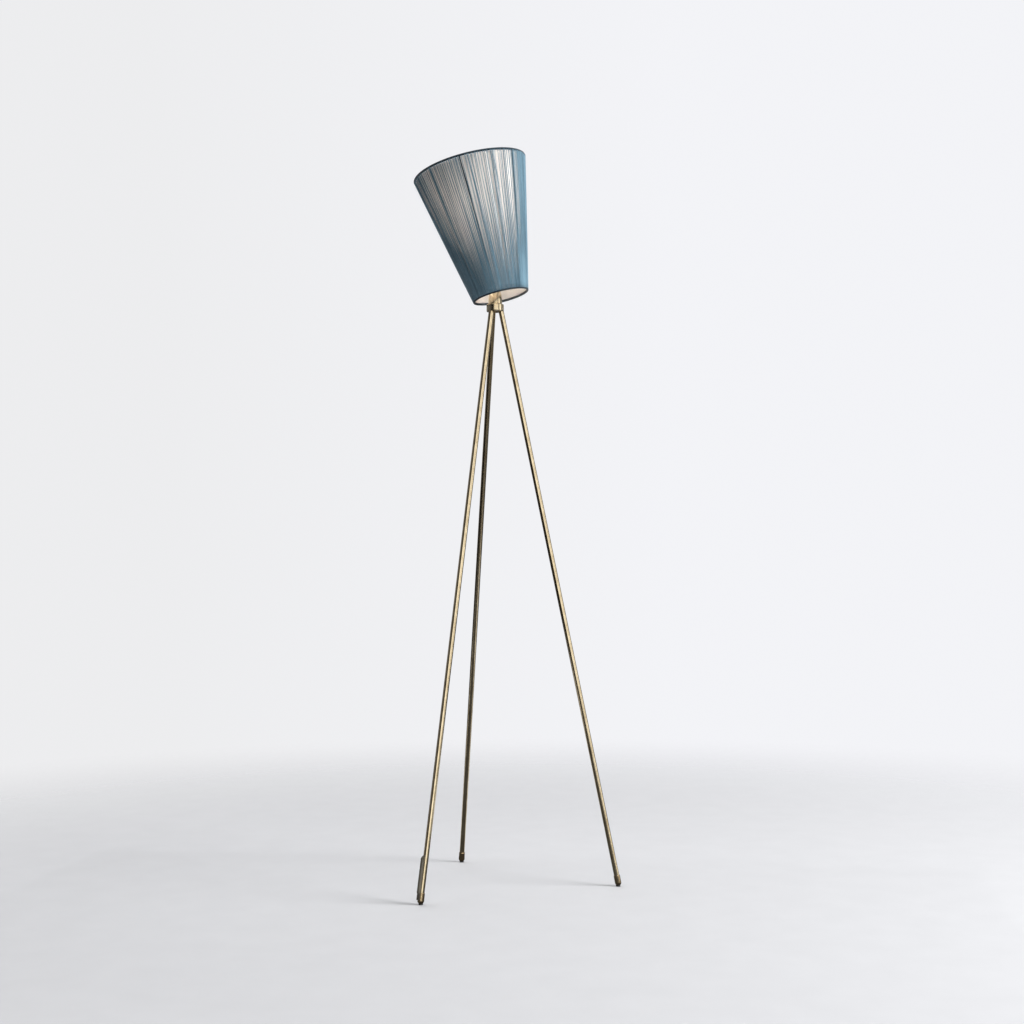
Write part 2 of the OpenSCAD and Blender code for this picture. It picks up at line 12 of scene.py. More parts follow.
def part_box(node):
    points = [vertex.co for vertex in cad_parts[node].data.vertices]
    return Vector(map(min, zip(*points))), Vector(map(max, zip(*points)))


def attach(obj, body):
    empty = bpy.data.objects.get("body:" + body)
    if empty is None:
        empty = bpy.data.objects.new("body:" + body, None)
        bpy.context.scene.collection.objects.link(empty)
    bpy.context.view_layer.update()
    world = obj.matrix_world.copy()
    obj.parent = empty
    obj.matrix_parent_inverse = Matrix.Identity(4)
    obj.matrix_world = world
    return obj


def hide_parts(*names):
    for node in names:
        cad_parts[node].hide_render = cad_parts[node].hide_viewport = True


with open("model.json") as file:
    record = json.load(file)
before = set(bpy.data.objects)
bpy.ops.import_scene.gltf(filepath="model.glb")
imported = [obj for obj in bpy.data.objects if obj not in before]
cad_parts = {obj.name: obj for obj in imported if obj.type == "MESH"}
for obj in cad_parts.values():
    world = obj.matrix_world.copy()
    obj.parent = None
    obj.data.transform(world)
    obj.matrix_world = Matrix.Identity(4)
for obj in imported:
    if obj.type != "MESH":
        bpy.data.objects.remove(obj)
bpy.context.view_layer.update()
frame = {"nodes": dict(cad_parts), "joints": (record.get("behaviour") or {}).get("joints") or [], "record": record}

MM = 0.001

# ---------- places taken from the frame ----------

joints = {j["name"]: j for j in frame["joints"]}
PIVOT = Vector(joints["shade_tilt"]["pos_m"])


def middle(node):
    lo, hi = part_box(node)
    return (lo + hi) / 2


def half_size(node):
    lo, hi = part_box(node)
    return (hi - lo) / 2


shade_axis = (middle("shade_top_ring") - middle("shade_bottom_ring")).normalized()
side_axis = Vector((0, 1, 0))
HEAD = Matrix((side_axis.cross(shade_axis), side_axis, shade_axis)).transposed().to_4x4()
HEAD.translation = PIVOT
LEAN = math.acos(shade_axis.z)


def ring(node):
    """(height above the pivot along the shade's axis, radius of the ring, radius of its wire)."""
    half = half_size(node)
    radius = (half.y - half.z) / (1 - math.sin(LEAN))
    return (middle(node) - PIVOT).dot(shade_axis), radius, half.y - radius


LOW_S, LOW_R, WIRE_R = ring("shade_bottom_ring")
TOP_S, TOP_R, _ = ring("shade_top_ring")
CONE = math.atan2(TOP_R - LOW_R, TOP_S - LOW_S)


def head_point(radius, azimuth, s):
    """Point in the shared frame, from its radius, azimuth and height in the shade's own frame."""
    return HEAD @ Vector((radius * math.cos(azimuth), radius * math.sin(azimuth), s))


# ---------- materials ----------


class Nodes:
    """A new node material, with short calls to add nodes and join them."""

    def __init__(self, name):
        self.material = bpy.data.materials.new(name)
        self.material.use_nodes = True
        self.tree = self.material.node_tree
        self.shader = self.tree.nodes["Principled BSDF"]
        self.output = self.tree.nodes["Material Output"]

    def add(self, kind, **values):
        """A node of this kind. A value named after a property sets it; any other is an input socket."""
        node = self.tree.nodes.new(kind)
        for key, value in values.items():
            if hasattr(node, key):
                setattr(node, key, value)
            else:
                self.set(node, key, value)
        return node

    def set(self, node, key, value):
        socket = node.inputs[int(key[1:])] if key[0] == "_" else node.inputs[key.replace("_", " ")]
        if isinstance(value, bpy.types.NodeSocket):
            self.tree.links.new(value, socket)
        else:
            socket.default_value = value

    def principled(self, **values):
        for key, value in values.items():
            self.set(self.shader, key, value)
        return self.material

    def object_point(self, scale=(1, 1, 1), turn=(0, 0, 0)):
        coordinates = self.add("ShaderNodeTexCoord")
        mapping = self.add("ShaderNodeMapping", Vector=coordinates.outputs["Object"])
        mapping.inputs["Scale"].default_value = scale
        mapping.inputs["Rotation"].default_value = turn
        return mapping.outputs["Vector"]

    def noise(self, vector, scale, detail=3.0, roughness=0.5):
        return self.add(
            "ShaderNodeTexNoise", Vector=vector, Scale=scale, Detail=detail, Roughness=roughness
        ).outputs["Fac"]

    def ramp(self, factor, *stops):
        """Colour ramp: each stop is (place, colour), a colour being a grey number or an RGB tuple."""
        node = self.add("ShaderNodeValToRGB", Fac=factor)
        elements = node.color_ramp.elements
        while len(elements) < len(stops):
            elements.new(0.5)
        for element, (place, colour) in zip(elements, stops):
            element.position = place
            rgb = (colour,) * 3 if isinstance(colour, (int, float)) else colour
            element.color = (*rgb, 1)
        return node.outputs["Color"]

    def blend(self, factor, a, b, kind="MIX"):
        node = self.add("ShaderNodeMix", data_type="RGBA", blend_type=kind)
        for socket, value in ((node.inputs[0], factor), (node.inputs[6], a), (node.inputs[7], b)):
            if isinstance(value, bpy.types.NodeSocket):
                self.tree.links.new(value, socket)
            elif isinstance(value, tuple):
                socket.default_value = (*value, 1)
            else:
                socket.default_value = value
        return node.outputs[2]

    def math(self, operation, a, b=0.0):
        return self.add("ShaderNodeMath", operation=operation, _0=a, _1=b).outputs[0]

    def bump(self, height, distance, strength=1.0):
        return self.add(
            "ShaderNodeBump", Height=height, Distance=distance, Strength=strength
        ).outputs["Normal"]


def brass(name, light, dark, rough=(0.10, 0.20)):
    """Dulled brass: tarnish in soft patches, fine drawing lines along Z, and small pits."""
    n = Nodes(name)
    point = n.object_point()
    patches = n.noise(point, 38, detail=5, roughness=0.65)
    lines = n.noise(n.object_point(scale=(1, 1, 0.02)), 2600, detail=3, roughness=0.6)
    pits = n.noise(point, 1500, detail=2)
    colour = n.ramp(patches, (0.30, dark), (0.62, light))
    colour = n.blend(n.ramp(lines, (0.35, 0.0), (0.75, 0.35)), colour, tuple(0.72 * c for c in dark))
    roughness = n.blend(0.45, n.ramp(patches, (0.25, rough[1]), (0.7, rough[0])),
                        n.ramp(lines, (0.2, rough[0]), (0.8, rough[1])))
    height = n.blend(0.35, lines, pits)
    return n.principled(Base_Color=colour, Metallic=1.0, Roughness=roughness,
                        Normal=n.bump(height, 0.00003, 0.25))


def plated(name, colour, rough=0.28):
    """Satin plated or machined metal with light turning marks."""
    n = Nodes(name)
    marks = n.noise(n.object_point(scale=(1, 1, 12)), 260, detail=4)
    smudge = n.noise(n.object_point(), 60, detail=3)
    shade = n.ramp(smudge, (0.3, tuple(0.78 * c for c in colour)), (0.7, colour))
    return n.principled(Base_Color=shade, Metallic=1.0,
                        Roughness=n.ramp(marks, (0.2, rough - 0.1), (0.8, rough + 0.14)),
                        Normal=n.bump(marks, 0.00003, 0.4))


def moulded(name, colour, rough=0.42):
    """Moulded plastic or rubber with a fine spark-eroded grain."""
    n = Nodes(name)
    texture = n.noise(n.object_point(), 900, detail=3)
    wear = n.noise(n.object_point(), 45, detail=4)
    tint = n.ramp(wear, (0.3, colour), (0.8, tuple(min(1, 1.35 * c + 0.012) for c in colour)))
    return n.principled(Base_Color=tint, Roughness=n.ramp(wear, (0.2, rough - 0.07), (0.8, rough + 0.1)),
                        Normal=n.bump(texture, 0.00005, 0.35))


def sleeve_plastic(name):
    """Milky grey tube that lets some light through."""
    n = Nodes(name)
    clouds = n.noise(n.object_point(scale=(1, 1, 0.2)), 160, detail=4)
    return n.principled(Base_Color=n.ramp(clouds, (0.3, (0.055, 0.048, 0.035)), (0.7, (0.10, 0.09, 0.068))),
                        Roughness=n.ramp(clouds, (0.2, 0.14), (0.8, 0.28)),
                        Subsurface_Weight=0.2, Subsurface_Radius=(0.002, 0.002, 0.002),
                        Normal=n.bump(clouds, 0.0001, 0.25))


def insulation(name, colour):
    n = Nodes(name)
    scuff = n.noise(n.object_point(scale=(1, 1, 0.3)), 300, detail=4)
    return n.principled(Base_Color=n.ramp(scuff, (0.3, colour), (0.8, tuple(0.8 * c for c in colour))),
                        Roughness=n.ramp(scuff, (0.2, 0.35), (0.8, 0.5)), Normal=n.bump(scuff, 0.00004, 0.4))


def glazed_ceramic(name):
    n = Nodes(name)
    specks = n.noise(n.object_point(), 700, detail=2)
    ripple = n.noise(n.object_point(), 130, detail=2)
    return n.principled(Base_Color=n.ramp(specks, (0.28, (0.55, 0.50, 0.42)), (0.42, (0.80, 0.77, 0.70))),
                        Roughness=n.ramp(ripple, (0.2, 0.12), (0.8, 0.2)), Coat_Weight=0.4,
                        Normal=n.bump(ripple, 0.0001, 0.2))


def painted(name, colour, rough=0.35):
    """Powder-coated wire: slight orange peel."""
    n = Nodes(name)
    peel = n.noise(n.object_point(), 520, detail=2)
    fade = n.noise(n.object_point(), 40, detail=3)
    return n.principled(Base_Color=n.ramp(fade, (0.3, tuple(0.86 * c for c in colour)), (0.7, colour)),
                        Roughness=n.ramp(peel, (0.2, rough - 0.06), (0.8, rough + 0.08)),
                        Normal=n.bump(peel, 0.00008, 0.4))


def yarn(name, light, dark):
    """Twisted yarn. The tone of each strand comes from its own attribute, and the UV runs along it."""
    n = Nodes(name)
    tone = n.add("ShaderNodeAttribute", attribute_name="tone").outputs["Fac"]
    uv = n.add("ShaderNodeTexCoord").outputs["UV"]
    plies = n.add("ShaderNodeTexWave", wave_type="BANDS", bands_direction="DIAGONAL", Vector=uv,
                  Scale=1.0, Distortion=0.6, Detail=1.0).outputs["Fac"]
    fuzz = n.noise(n.object_point(), 2400, detail=3, roughness=0.7)
    mottle = n.noise(n.object_point(scale=(1, 1, 0.25)), 90, detail=3)
    colour = n.ramp(n.math("ADD", n.math("MULTIPLY", tone, 0.65), n.math("MULTIPLY", mottle, 0.35)),
                    (0.15, dark), (0.85, light))
    colour = n.blend(0.45, colour, n.ramp(plies, (0.0, 0.62), (0.6, 1.0)), "MULTIPLY")
    height = n.blend(0.35, plies, fuzz)
    return n.principled(Base_Color=colour, Roughness=n.ramp(fuzz, (0.2, 0.62), (0.8, 0.85)),
                        Sheen_Weight=0.25, Sheen_Roughness=0.4, Normal=n.bump(height, 0.00018, 0.8))


def woven_liner(name):
    """White laminated cloth that the bulb's light comes through."""
    n = Nodes(name)
    turned = n.object_point(turn=(0, LEAN, 0))
    warp = n.add("ShaderNodeTexWave", bands_direction="Z", Vector=turned, Scale=420.0, Distortion=0.8,
                 Detail=1.0).outputs["Fac"]
    weft = n.add("ShaderNodeTexWave", bands_direction="DIAGONAL", Vector=turned, Scale=300.0, Distortion=0.8,
                 Detail=1.0).outputs["Fac"]
    clouds = n.noise(n.object_point(scale=(1, 1, 0.3)), 30, detail=4)
    colour = n.ramp(clouds, (0.3, (0.64, 0.60, 0.57)), (0.7, (0.76, 0.73, 0.70)))
    weave = n.blend(0.5, warp, weft)
    normal = n.bump(weave, 0.00008, 0.5)
    n.principled(Base_Color=colour, Roughness=n.ramp(weave, (0.1, 0.6), (0.9, 0.8)), Sheen_Weight=0.15,
                 Normal=normal)
    through = n.add("ShaderNodeBsdfTranslucent", Color=(0.86, 0.84, 0.82, 1), Normal=normal)
    mix = n.add("ShaderNodeMixShader", Fac=0.18, _1=n.shader.outputs[0], _2=through.outputs[0])
    n.tree.links.new(mix.outputs[0], n.output.inputs["Surface"])
    return n.material


def frosted_glass(name):
    """Lit frosted bulb: brightest round the middle of the globe, dimmer towards the neck."""
    n = Nodes(name)
    frost = n.noise(n.object_point(), 900, detail=2)
    point = n.object_point()
    height = n.add("ShaderNodeSeparateXYZ", Vector=point).outputs["Z"]
    lo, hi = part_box("bulb_glass")
    glow = n.add("ShaderNodeMapRange", Value=height, From_Min=lo.z, From_Max=(lo.z + hi.z) / 2,
                 To_Min=0.35, To_Max=1.0).outputs[0]
    return n.principled(Base_Color=n.ramp(frost, (0.3, (0.90, 0.86, 0.80)), (0.7, (0.96, 0.93, 0.88))),
                        Roughness=n.ramp(frost, (0.2, 0.45), (0.8, 0.6)),
                        Emission_Color=n.blend(glow, (1.0, 0.87, 0.75), (1.0, 0.95, 0.91)),
                        Emission_Strength=BULB_STRENGTH, Normal=n.bump(frost, 0.00004, 0.3))


def clear_glass(name):
    n = Nodes(name)
    waves = n.noise(n.object_point(), 120, detail=2)
    return n.principled(Base_Color=n.ramp(waves, (0.3, (0.88, 0.92, 0.92)), (0.7, (0.96, 0.98, 0.98))),
                        Roughness=n.ramp(waves, (0.2, 0.02), (0.8, 0.06)), Transmission_Weight=0.9, IOR=1.5)


def filament_glow(name):
    n = Nodes(name)
    phosphor = n.noise(n.object_point(), 1100, detail=2)
    return n.principled(Base_Color=n.ramp(phosphor, (0.3, (0.95, 0.60, 0.20)), (0.7, (1.0, 0.75, 0.35))),
                        Roughness=0.5, Emission_Color=(1.0, 0.72, 0.40, 1), Emission_Strength=2.0,
                        Normal=n.bump(phosphor, 0.0001, 0.4))


BULB_STRENGTH = 52.0

BRASS_LIGHT = (0.78, 0.66, 0.45)
BRASS_DARK = (0.50, 0.40, 0.25)

MATERIALS = {
    "satin_brass": brass("satin_brass", BRASS_LIGHT, BRASS_DARK),
    # The feet's brass is darker than the legs': painted shade, standing for the dark reflections low down by the
    # floor.
    "foot_cap": brass("foot_cap", (0.60, 0.47, 0.29), (0.38, 0.28, 0.16), rough=(0.14, 0.3)),
    "threaded_brass": plated("threaded_brass", (0.72, 0.58, 0.32)),
    "nickel": plated("nickel", (0.72, 0.70, 0.66)),
    "rubber": moulded("rubber", (0.018, 0.018, 0.018), rough=0.7),
    "lampholder": moulded("lampholder", (0.022, 0.022, 0.024)),
    "insulator": moulded("insulator", (0.012, 0.010, 0.010), rough=0.2),
    "sleeve": sleeve_plastic("sleeve"),
    "lead": insulation("lead", (0.78, 0.76, 0.70)),
    "conductor": insulation("conductor", (0.20, 0.09, 0.045)),
    "ceramic": glazed_ceramic("ceramic"),
    "spider": painted("spider", (0.80, 0.80, 0.77)),
    "shade_wire": painted("shade_wire", (0.035, 0.065, 0.09)),
    # The rim piping's yarn is far darker than the strands': partly its own dark teal, partly painted shade on the
    # wrapped rings.
    "piping": yarn("piping", (0.022, 0.040, 0.055), (0.010, 0.018, 0.026)),
    "threads": yarn("threads", (0.19, 0.325, 0.415), (0.075, 0.145, 0.195)),
    "liner": woven_liner("liner"),
    "bulb_glass": frosted_glass("bulb_glass"),
    "stem_glass": clear_glass("stem_glass"),
    "filament": filament_glow("filament"),
}

for subpart in frame["record"]["subparts"]:
    data = frame["nodes"][subpart["node"]].data
    data.materials.clear()
    data.materials.append(MATERIALS[subpart["material_slot"]])
SLOT = {subpart["node"]: subpart["material_slot"] for subpart in frame["record"]["subparts"]}

# ---------- mesh helpers ----------


def new_piece(name, mesh, body, nodes):
    """An object for the mesh that rides on the body and stands for the CAD nodes."""
    piece = bpy.data.objects.new(name, mesh)
    bpy.context.scene.collection.objects.link(piece)
    if not mesh.materials:
        mesh.materials.append(MATERIALS[SLOT[nodes[0]]])
    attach(piece, body)
    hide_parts(*nodes)
    return piece


SHARP_EDGE = math.radians(32)  # an edge that turns by more than this is worn round


def rounded(node, body, width):
    """A copy of a CAD node whose sharp edges are worn round. It stands for the node."""
    form = bmesh.new()
    form.from_mesh(frame["nodes"][node].data)
    bmesh.ops.remove_doubles(form, verts=form.verts, dist=0.005 * MM)
    bmesh.ops.dissolve_limit(form, angle_limit=math.radians(0.5), verts=form.verts, edges=form.edges)
    edges = [e for e in form.edges if len(e.link_faces) == 2 and e.calc_face_angle(0) > SHARP_EDGE]
    bmesh.ops.bevel(form, geom=edges, offset=width, segments=2, profile=0.5, affect="EDGES",
                    clamp_overlap=True, harden_normals=False)
    for face in form.faces:
        face.smooth = True
    for edge in form.edges:
        edge.smooth = len(edge.link_faces) != 2 or edge.calc_face_angle(0) < SHARP_EDGE
    mesh = bpy.data.meshes.new(node + "_worn")
    form.to_mesh(mesh)
    form.free()
    return new_piece(node + "_worn", mesh, body, [node])


def yarn_mesh(name, points, faces, uvs, tones):
    """Smooth mesh with what the yarn material reads: a UV for each corner and a tone for each point."""
    mesh = bpy.data.meshes.new(name)
    mesh.from_pydata(points, [], faces)
    mesh.uv_layers.new(name="along").data.foreach_set("uv", [c for uv in uvs for c in uv])
    mesh.attributes.new("tone", "FLOAT", "POINT").data.foreach_set("value", tones)
    mesh.polygons.foreach_set("use_smooth", [True] * len(faces))
    mesh.update()
    return mesh


def tube_mesh(name, paths, radius, sides, twist_pitch):
    """One mesh of round tubes, each along a list of points. UVs run in turns of the yarn's twist."""
    points, faces, uvs, tones = [], [], [], []
    around = [2 * math.pi * i / sides for i in range(sides)]
    for path, tone in paths:
        first = len(points)
        along = 0.0
        lengths = []
        for i, centre in enumerate(path):
            ahead = path[min(i + 1, len(path) - 1)] - path[max(i - 1, 0)]
            out = (centre - PIVOT) - (centre - PIVOT).dot(shade_axis) * shade_axis
            u = ahead.cross(out).normalized()
            v = ahead.normalized().cross(u)
            points += [centre + radius * (math.cos(a) * u + math.sin(a) * v) for a in around]
            along += (path[i] - path[i - 1]).length if i else 0.0
            lengths.append(along / twist_pitch)
            tones += [tone] * sides
        last = first + (len(path) - 1) * sides
        for end in ([first + k for k in reversed(range(sides))], [last + k for k in range(sides)]):
            faces.append(end)
            uvs += [(0, 0)] * sides
        for i in range(len(path) - 1):
            for k in range(sides):
                a, b = first + i * sides + k, first + i * sides + (k + 1) % sides
                faces.append((a, b, b + sides, a + sides))
                uvs += [(k / sides, lengths[i]), ((k + 1) / sides, lengths[i]),
                        ((k + 1) / sides, lengths[i + 1]), (k / sides, lengths[i + 1])]
    return yarn_mesh(name, points, faces, uvs, tones)


# ---------- shade ----------

STRUTS = 6
FIRST_STRUT = math.radians(90)
BAY_STRANDS = [66, 66, 74, 58, 92, 66]  # strands between each strut and the next
STRAND_R = 0.42 * MM
STRAND_OUT = 1.75 * MM  # out from the cone through the two wire rings' centre lines
LAYER_STEP = 0.2 * MM  # every other strand bows out this much further, halfway up
CROSSINGS = 1.4  # strand spacings by which the two layers slant past each other
STRAND_STEPS = 24
STRAND_SIDES = 6
STRAND_END = 0.4 * MM  # from a wire ring's centre to the strands' ends
STRAND_SEED = 5
YARN_TWIST = 2.2 * MM
GATHERS = 46  # narrow bunches
DRIFTS = 16  # wide, weaker ones


def gathered(azimuth, t, gathers):
    """The azimuth after strands have slipped together into bunches, less so near the lower ring."""
    shift = 0.0
    for place, drift, width, pull in gathers:
        away = (azimuth - place - drift * (t - 0.5) + math.pi) % (2 * math.pi) - math.pi
        x = away / width
        if abs(x) < 4:
            shift -= pull * away * math.exp(-x * x / 2)
    return azimuth + shift * min(1.0, 0.2 + t / 0.4)


def wound_threads():
    """Strands of yarn stretched from ring to ring. Hand winding leaves them bunched and slightly crossed."""
    rng = random.Random(STRAND_SEED)
    gathers = [
        (rng.uniform(-math.pi, math.pi), math.radians(rng.gauss(0, 2.5)),
         math.radians(rng.uniform(*widths)), rng.uniform(*pulls))
        for count, widths, pulls in ((GATHERS, (1.2, 3.0), (0.65, 1.0)), (DRIFTS, (3.0, 5.5), (0.3, 0.55)))
        for _ in range(count)
    ]
    starts = [
        FIRST_STRUT + (bay + (i + 0.5) / count) * 2 * math.pi / STRUTS
        for bay, count in enumerate(BAY_STRANDS)
        for i in range(count)
    ]
    pitch = 2 * math.pi / len(starts)
    paths = []
    for i, start in enumerate(starts):
        outer = i % 2
        start += pitch * rng.uniform(-0.12, 0.12)
        slant = pitch * ((2 * outer - 1) * CROSSINGS / 2 + rng.gauss(0, 0.25))
        lift = LAYER_STEP * outer + rng.uniform(-0.08, 0.08) * MM
        tone = min(1.0, max(0.0, rng.gauss(0.5, 0.32)))
        path = []
        for step in range(STRAND_STEPS + 1):
            t = step / STRAND_STEPS
            s = LOW_S + STRAND_END + (TOP_S - LOW_S - 2 * STRAND_END) * t
            out = STRAND_OUT + lift * math.sin(math.pi * t)
            radius = LOW_R + (s - LOW_S) * math.tan(CONE) + out / math.cos(CONE)
            path.append(head_point(radius, gathered(start + slant * t, t, gathers), s))
        paths.append((path, tone))
    mesh = tube_mesh("threads", paths, STRAND_R, STRAND_SIDES, YARN_TWIST)
    return new_piece("wound_threads", mesh, "shade_head", ["shade_threads"])


PIPING_R = WIRE_R + 0.7 * MM
WRAP_PITCH = 1.15 * MM
WRAP_DEPTH = 0.16 * MM
WRAP_SAMPLES = 6
PIPING_SIDES = 12


def bound_ring(node, s, radius, name):
    """Ring bound with close turns of yarn: a torus whose surface rises and falls with each turn."""
    rng = random.Random(name)
    turns = round(2 * math.pi * radius / WRAP_PITCH)
    count = turns * WRAP_SAMPLES
    tones = [min(1.0, max(0.0, rng.gauss(0.5, 0.25))) for _ in range(turns)]
    points, faces, uvs, tone_values = [], [], [], []
    for i in range(count):
        azimuth = 2 * math.pi * i / count
        for k in range(PIPING_SIDES):
            section = 2 * math.pi * k / PIPING_SIDES
            phase = i / WRAP_SAMPLES + k / PIPING_SIDES
            swell = abs(math.sin(math.pi * phase))
            r = PIPING_R - WRAP_DEPTH * (1 - swell)
            points.append(head_point(radius + r * math.cos(section), azimuth, s + r * math.sin(section)))
            tone_values.append(tones[int(phase) % turns])
    for i in range(count):
        for k in range(PIPING_SIDES):
            j, m = (i + 1) % count, (k + 1) % PIPING_SIDES
            corners = [(i, k), (j, k), (j, m), (i, m)]
            faces.append([a * PIPING_SIDES + b for a, b in corners])
            around = ((i, k), (i + 1, k), (i + 1, k + 1), (i, k + 1))
            uvs += [(dk / PIPING_SIDES, di / WRAP_SAMPLES) for di, dk in around]
    mesh = yarn_mesh(name, points, faces, uvs, tone_values)
    return new_piece(name, mesh, "shade_head", [node])


wound_threads()
bound_ring("bottom_piping", LOW_S, LOW_R, "bound_bottom_ring")
bound_ring("top_piping", TOP_S, TOP_R, "bound_top_ring")

# ---------- worn edges on the metal and plastic parts ----------

TURNED = brass("turned_brass", (0.80, 0.70, 0.50), (0.54, 0.44, 0.28), rough=(0.14, 0.28))
for node, width in (("leg_hub", 0.6 * MM), ("neck_bell", 0.3 * MM)):
    rounded(node, "tripod", width).data.materials[0] = TURNED
for node, body, width in (
    ("knuckle_fork", "swivel", 0.6 * MM),
    ("pivot_screw", "swivel", 0.25 * MM),
    ("pivot_nut", "swivel", 0.2 * MM),
    ("knuckle_tongue", "shade_head", 0.5 * MM),
    ("shade_ring_lower", "shade_head", 0.5 * MM),
    ("shade_ring_upper", "shade_head", 0.5 * MM),
    ("holder_cap", "shade_head", 0.5 * MM),
):
    rounded(node, body, width)

# ---------- stage, light and camera ----------

CAMERA_AT = Vector((0.479, -2.858, 0.608))
CAMERA_HEADING = math.radians(-8.954)  # from +Y towards +X
CAMERA_RISE = math.radians(1.778)
CAMERA_ROLL = math.radians(-0.541)
LENS_MM = 53.84
SENSOR_MM = 36

FLOOR_REACH = 3.0
FLOOR_FADE = (0.7, 2.4)  # from the lamp's axis: where the floor starts to fade and where it is gone

# Size and place of the sheet that paints dark reflections into the brass.
CARD_HALF = 0.9
CARD_NEAR = -2.0
CARD_FAR = 0.24

LAMP_MIDDLE = Vector((0, 0, 0.9))
WINDOW_RIGHT, WINDOW_NEARER, WINDOW_ABOVE = 3.4, 1.3, 1.3  # from the lamp's middle, as the camera sees it
WINDOW_SIZE, WINDOW_WATTS = (2.0, 2.4), 240
OVERHEAD_AT = Vector((-0.9, 0.5, 3.0))
OVERHEAD_SIZE, OVERHEAD_WATTS = (2.4, 2.4), 54


def camera():
    ahead = Vector((math.sin(CAMERA_HEADING) * math.cos(CAMERA_RISE),
                    math.cos(CAMERA_HEADING) * math.cos(CAMERA_RISE), math.sin(CAMERA_RISE)))
    right = ahead.cross(Vector((0, 0, 1))).normalized()
    up = right.cross(ahead)
    c, s = math.cos(CAMERA_ROLL), math.sin(CAMERA_ROLL)
    data = bpy.data.cameras.new("camera")
    data.lens = LENS_MM
    data.sensor_width = SENSOR_MM
    view = bpy.data.objects.new("camera", data)
    turn = Matrix((right * c + up * s, up * c - right * s, -ahead)).transposed().to_4x4()
    view.matrix_world = Matrix.Translation(CAMERA_AT) @ turn
    bpy.context.scene.collection.objects.link(view)
    bpy.context.scene.camera = view
    return ahead, right


def area_light(name, place, size, power):
    """White light that points at the lamp's middle and that shiny surfaces don't see."""
    data = bpy.data.lights.new(name, "AREA")
    data.shape = "RECTANGLE"
    data.size, data.size_y = size
    data.energy = power
    light = bpy.data.objects.new(name, data)
    light.visible_glossy = False
    turn = (LAMP_MIDDLE - place).to_track_quat("-Z", "Y").to_matrix().to_4x4()
    light.matrix_world = Matrix.Translation(place) @ turn
    bpy.context.scene.collection.objects.link(light)


def flat_sheet(name, corners, material):
    mesh = bpy.data.meshes.new(name)
    mesh.from_pydata(corners, [], [(0, 1, 2, 3)])
    mesh.materials.append(material)
    sheet = bpy.data.objects.new(name, mesh)
    bpy.context.scene.collection.objects.link(sheet)
    return sheet


def floor():
    """Pale floor that fades out, so that it has no edge, and that isn't there when seen from below."""
    n = Nodes("floor")
    distance = n.add("ShaderNodeVectorMath", operation="LENGTH", _0=n.object_point()).outputs["Value"]
    grain = n.noise(n.object_point(), 14, detail=3)
    pale = n.ramp(grain, (0.3, (0.50, 0.505, 0.52)), (0.7, (0.515, 0.52, 0.535)))
    n.principled(Base_Color=pale, Roughness=0.8)
    clear = n.add("ShaderNodeBsdfTransparent")
    fade = n.add("ShaderNodeMapRange", Value=distance, From_Min=FLOOR_FADE[0], From_Max=FLOOR_FADE[1],
                 interpolation_type="SMOOTHSTEP")
    below = n.add("ShaderNodeNewGeometry").outputs["Backfacing"]
    hidden = n.math("MAXIMUM", fade.outputs[0], below)
    mix = n.add("ShaderNodeMixShader", Fac=hidden, _1=n.shader.outputs[0], _2=clear.outputs[0])
    n.tree.links.new(mix.outputs[0], n.output.inputs["Surface"])
    r = FLOOR_REACH
    plane = flat_sheet("floor", [(-r, -r, 0), (r, -r, 0), (r, r, 0), (-r, r, 0)], n.material)


def painted_reflection_card():
    """Near-black card on the floor that only shiny surfaces see: a painted dark reflection in the brass, where
    nothing dark stands.
    """
    n = Nodes("painted_reflection_card")
    # Faint speckle in the near-black of the painted dark reflection.
    reflection_speckle = n.noise(n.object_point(), 300)
    black = n.principled(Base_Color=n.ramp(reflection_speckle, (0.3, 0.03), (0.7, 0.05)), Roughness=0.95)
    sides = ((-CARD_HALF, CARD_NEAR), (CARD_HALF, CARD_NEAR), (CARD_HALF, CARD_FAR), (-CARD_HALF, CARD_FAR))
    flag = flat_sheet("painted_reflection_card", [(x, y, MM) for x, y in sides], black)
    flag.visible_camera = flag.visible_diffuse = flag.visible_shadow = flag.visible_transmission = False


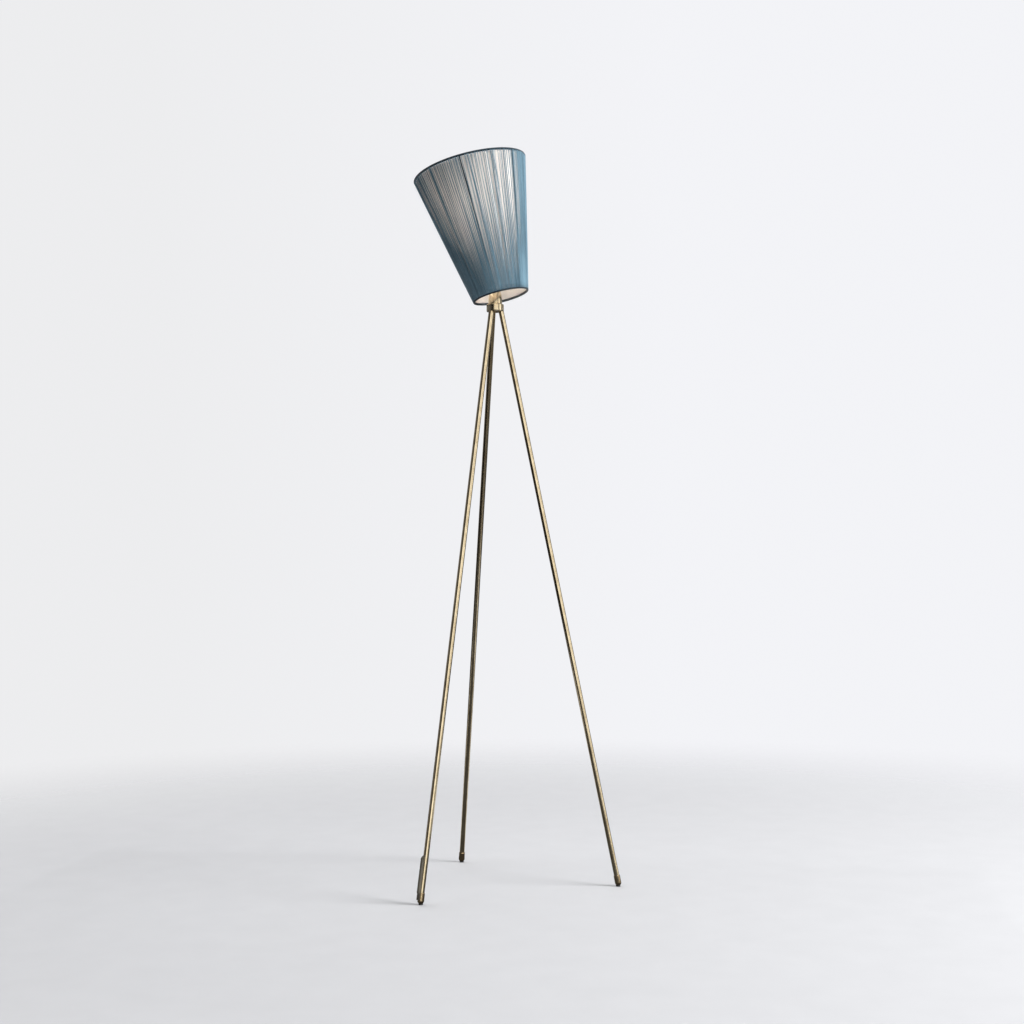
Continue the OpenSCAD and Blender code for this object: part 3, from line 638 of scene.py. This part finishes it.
def surroundings(ahead, right):
    """Pale backdrop for camera rays, with painted light on it: a little brighter towards the right, the side the
    window light comes from. All other rays, such as reflections, meet a grey room instead, whose dark and bright
    bands are placed round the photo's camera and stay there in other views."""
    world = bpy.data.worlds.new("studio")
    bpy.context.scene.world = world
    world.use_nodes = True
    tree = world.node_tree
    tree.nodes.clear()

    def node(kind, **values):
        new = tree.nodes.new(kind)
        for key, value in values.items():
            setattr(new, key, value)
        return new

    direction = node("ShaderNodeTexCoord").outputs["Generated"]

    def along(axis):
        dot = node("ShaderNodeVectorMath", operation="DOT_PRODUCT")
        tree.links.new(direction, dot.inputs[0])
        dot.inputs[1].default_value = axis
        return dot.outputs["Value"]

    def ramp(value, reach, stops):
        """Colour ramp over a value that runs from -reach to reach."""
        spread = node("ShaderNodeMapRange")
        spread.inputs["From Min"].default_value = -reach
        spread.inputs["From Max"].default_value = reach
        tree.links.new(value, spread.inputs["Value"])
        colours = node("ShaderNodeValToRGB")
        elements = colours.color_ramp.elements
        while len(elements) < len(stops):
            elements.new(0.5)
        for element, (place, colour) in zip(elements, stops):
            element.position = (place / reach + 1) / 2
            element.color = (*colour, 1)
        tree.links.new(spread.outputs[0], colours.inputs[0])
        return colours.outputs[0]

    def towards(axis, *stops):
        """Colours over how far the direction points along the axis, from -1 to 1."""
        return ramp(along(axis), 1, stops)

    def round_about(*stops):
        """Colours round the lamp, in degrees from the photo's camera towards its right."""
        turn = node("ShaderNodeMath", operation="ARCTAN2")
        tree.links.new(along(right), turn.inputs[0])
        tree.links.new(along(-ahead), turn.inputs[1])
        degrees = [(math.radians(place), colour) for place, colour in stops]
        return ramp(turn.outputs[0], math.pi, degrees)

    room = round_about((-180, (0.70, 0.70, 0.71)), (-150, (0.45, 0.45, 0.46)), (-130, (0.20, 0.20, 0.21)),
                       (-60, (0.16, 0.16, 0.17)), (-48, (0.03, 0.03, 0.03)), (-18, (0.03, 0.03, 0.03)),
                       (-6, (1.50, 1.48, 1.44)), (38, (1.70, 1.68, 1.63)), (48, (0.25, 0.25, 0.25)),
                       (58, (0.25, 0.25, 0.25)), (64, (2.20, 2.16, 2.10)), (78, (2.20, 2.16, 2.10)),
                       (90, (0.28, 0.28, 0.29)), (150, (0.45, 0.45, 0.46)), (180, (0.70, 0.70, 0.71)))
    height = towards(Vector((0, 0, 1)),
                     (-0.07, (0.08, 0.08, 0.08)), (0.04, (1, 1, 1)), (0.9, (0.75, 0.75, 0.77)))
    # Painted light on the backdrop: brighter towards the right.
    backdrop = towards(right, (-0.22, (0.845, 0.847, 0.86)), (0.10, (0.895, 0.90, 0.93)))
    lit = node("ShaderNodeMix", data_type="RGBA", blend_type="MULTIPLY")
    lit.inputs[0].default_value = 1
    tree.links.new(room, lit.inputs[6])
    tree.links.new(height, lit.inputs[7])
    seen = node("ShaderNodeLightPath").outputs["Is Camera Ray"]
    choose = node("ShaderNodeMix", data_type="RGBA")
    tree.links.new(seen, choose.inputs[0])
    tree.links.new(lit.outputs[2], choose.inputs[6])
    tree.links.new(backdrop, choose.inputs[7])
    background = node("ShaderNodeBackground")
    tree.links.new(choose.outputs[2], background.inputs[0])
    tree.links.new(background.outputs[0], node("ShaderNodeOutputWorld").inputs[0])


ahead, right = camera()
floor()
painted_reflection_card()
surroundings(ahead, right)
window_at = LAMP_MIDDLE + WINDOW_RIGHT * right - WINDOW_NEARER * ahead + Vector((0, 0, WINDOW_ABOVE))
area_light("window", window_at, WINDOW_SIZE, WINDOW_WATTS)
area_light("overhead", OVERHEAD_AT, OVERHEAD_SIZE, OVERHEAD_WATTS)
bpy.context.scene.view_settings.view_transform = "Standard"
